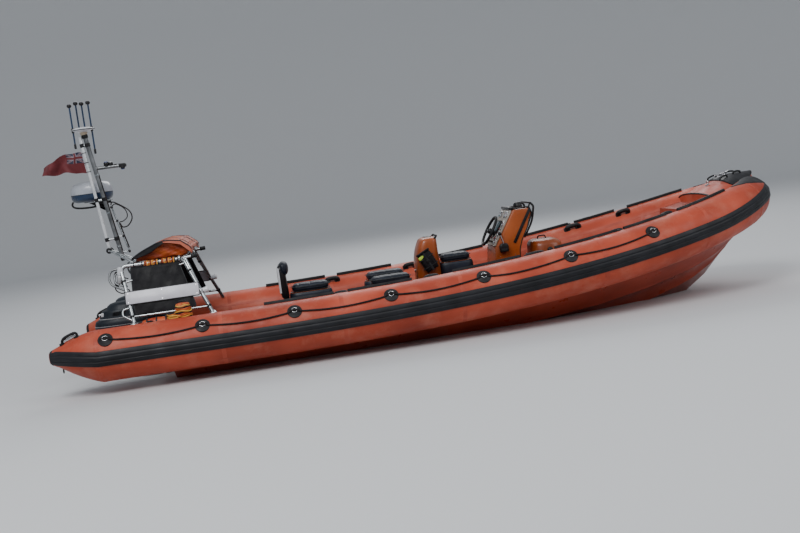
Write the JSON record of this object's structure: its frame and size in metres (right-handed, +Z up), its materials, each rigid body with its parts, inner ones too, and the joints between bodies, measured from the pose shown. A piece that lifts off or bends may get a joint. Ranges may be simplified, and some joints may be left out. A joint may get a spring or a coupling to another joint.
{
  "type": "inshore rescue boat",
  "caption": "Rigid inflatable inshore rescue boat with buoyant collar, tilting outboard engines, astride helm, crew seats, stern gantry and folding mast.",
  "frame": {"origin": "on the waterline at the centreline, amidships", "axes": "+X towards the bow, +Y to port, +Z up"},
  "size_m": [8.3387, 2.882, 3.8903],
  "materials": {
    "hull_skin": "salmon-orange hull paint",
    "tube_fabric": "matt salmon-orange coated fabric",
    "deck_tread": "dark non-slip tread",
    "black_rubber": "black ribbed rubber",
    "lifeline": "dark braided line through rubber discs",
    "moulded_ochre": "ochre-orange gel coat",
    "seat_vinyl": "dark blue-black seat vinyl",
    "instrument_black": "black moulded plastic",
    "black_fabric": "black coated cloth",
    "frame_alloy": "pale satin tube",
    "airbag_fabric": "quilted orange cloth",
    "board_white": "off-white gloss",
    "rope_yellow": "orange and yellow rope cloth",
    "engine_paint": "dark blue-black paint",
    "cowl_gloss": "glossy dark blue-black",
    "powerhead_iron": "plain dark casting",
    "propeller_steel": "polished steel",
    "flag_cloth": "red flag cloth"
  },
  "bodies": {
    "boat": {"hull": "hull_skin", "collar_starboard": "tube_fabric", "collar_port": "tube_fabric", "cockpit_deck": "deck_tread", "rubbing_strake_starboard": "black_rubber", "rubbing_strake_port": "black_rubber", "bow_pad": "black_rubber", "grab_line_starboard": "lifeline", "grab_line_port": "lifeline", "bow_locker": "moulded_ochre", "helm_console": "moulded_ochre", "crew_console": "moulded_ochre", "helm_seat_base": "moulded_ochre", "crew_seat_starboard_base": "moulded_ochre", "crew_seat_port_base": "moulded_ochre", "aft_seat_base": "moulded_ochre", "helm_seat_cushion": "seat_vinyl", "crew_seat_starboard_cushion": "seat_vinyl", "crew_seat_port_cushion": "seat_vinyl", "aft_seat_cushion": "seat_vinyl", "aft_seat_backrest": "seat_vinyl", "instrument_panel": "instrument_black", "console_rail": "instrument_black", "throttle_controls": "instrument_black", "compass": "instrument_black", "crew_console_pouch": "black_fabric", "side_bag_starboard": "black_fabric", "side_bag_port": "black_fabric", "gantry_side_starboard": "frame_alloy", "gantry_side_port": "frame_alloy", "gantry_front_bar": "frame_alloy", "gantry_rear_bar": "frame_alloy", "righting_bag": "airbag_fabric", "stowage_bag": "airbag_fabric", "name_board_starboard": "board_white", "name_board_port": "board_white", "rope_bag": "rope_yellow", "clamp_bracket_starboard": "engine_paint", "clamp_bracket_port": "engine_paint"},
    "swivel_starboard": {"swivel_bracket_starboard": "engine_paint"},
    "engine_starboard": {"engine_leg_starboard": "engine_paint", "cowl_starboard": "cowl_gloss", "powerhead_starboard": "powerhead_iron"},
    "propeller_starboard": {"propeller_starboard": "propeller_steel"},
    "swivel_port": {"swivel_bracket_port": "engine_paint"},
    "engine_port": {"engine_leg_port": "engine_paint", "cowl_port": "cowl_gloss", "powerhead_port": "powerhead_iron"},
    "propeller_port": {"propeller_port": "propeller_steel"},
    "helm_wheel": {"steering_wheel": "instrument_black"},
    "mast": {"mast_frame": "frame_alloy", "mast_cable": "instrument_black", "antenna_plate": "board_white", "radar_dome": "board_white", "light_bar": "instrument_black", "ensign": "flag_cloth"}
  },
  "joints": [
    {"name": "tilt_starboard", "type": "hinge", "parent": "boat", "child": "swivel_starboard", "pos_m": [-2.965, -0.33, 0.3], "axis": [0, 1, 0], "range_deg": [0, 60]},
    {"name": "steer_starboard", "type": "hinge", "parent": "swivel_starboard", "child": "engine_starboard", "pos_m": [-3.13, -0.33, 0], "axis": [0, 0, 1], "range_deg": [-28, 28]},
    {"name": "spin_starboard", "type": "hinge", "parent": "engine_starboard", "child": "propeller_starboard", "pos_m": [-3.5, -0.33, -0.53], "axis": [1, 0, 0], "continuous": true},
    {"name": "tilt_port", "type": "hinge", "parent": "boat", "child": "swivel_port", "pos_m": [-2.965, 0.33, 0.3], "axis": [0, 1, 0], "range_deg": [0, 60]},
    {"name": "steer_port", "type": "hinge", "parent": "swivel_port", "child": "engine_port", "pos_m": [-3.13, 0.33, 0], "axis": [0, 0, 1], "range_deg": [-28, 28]},
    {"name": "spin_port", "type": "hinge", "parent": "engine_port", "child": "propeller_port", "pos_m": [-3.5, 0.33, -0.53], "axis": [1, 0, 0], "continuous": true},
    {"name": "wheel_turn", "type": "hinge", "parent": "boat", "child": "helm_wheel", "pos_m": [0.76, 0, 1.045], "axis": [0.848, 0, -0.5299], "range_deg": [-510, 510]},
    {"name": "mast_fold", "type": "hinge", "parent": "boat", "child": "mast", "pos_m": [-3.615, 0, 1.435], "axis": [0, -1, 0], "range_deg": [0, 75]}
  ],
  "couplings": [
    {"joint": "steer_port", "follows": "steer_starboard", "ratio": 1},
    {"joint": "wheel_turn", "follows": "steer_starboard", "ratio": 18}
  ]
}
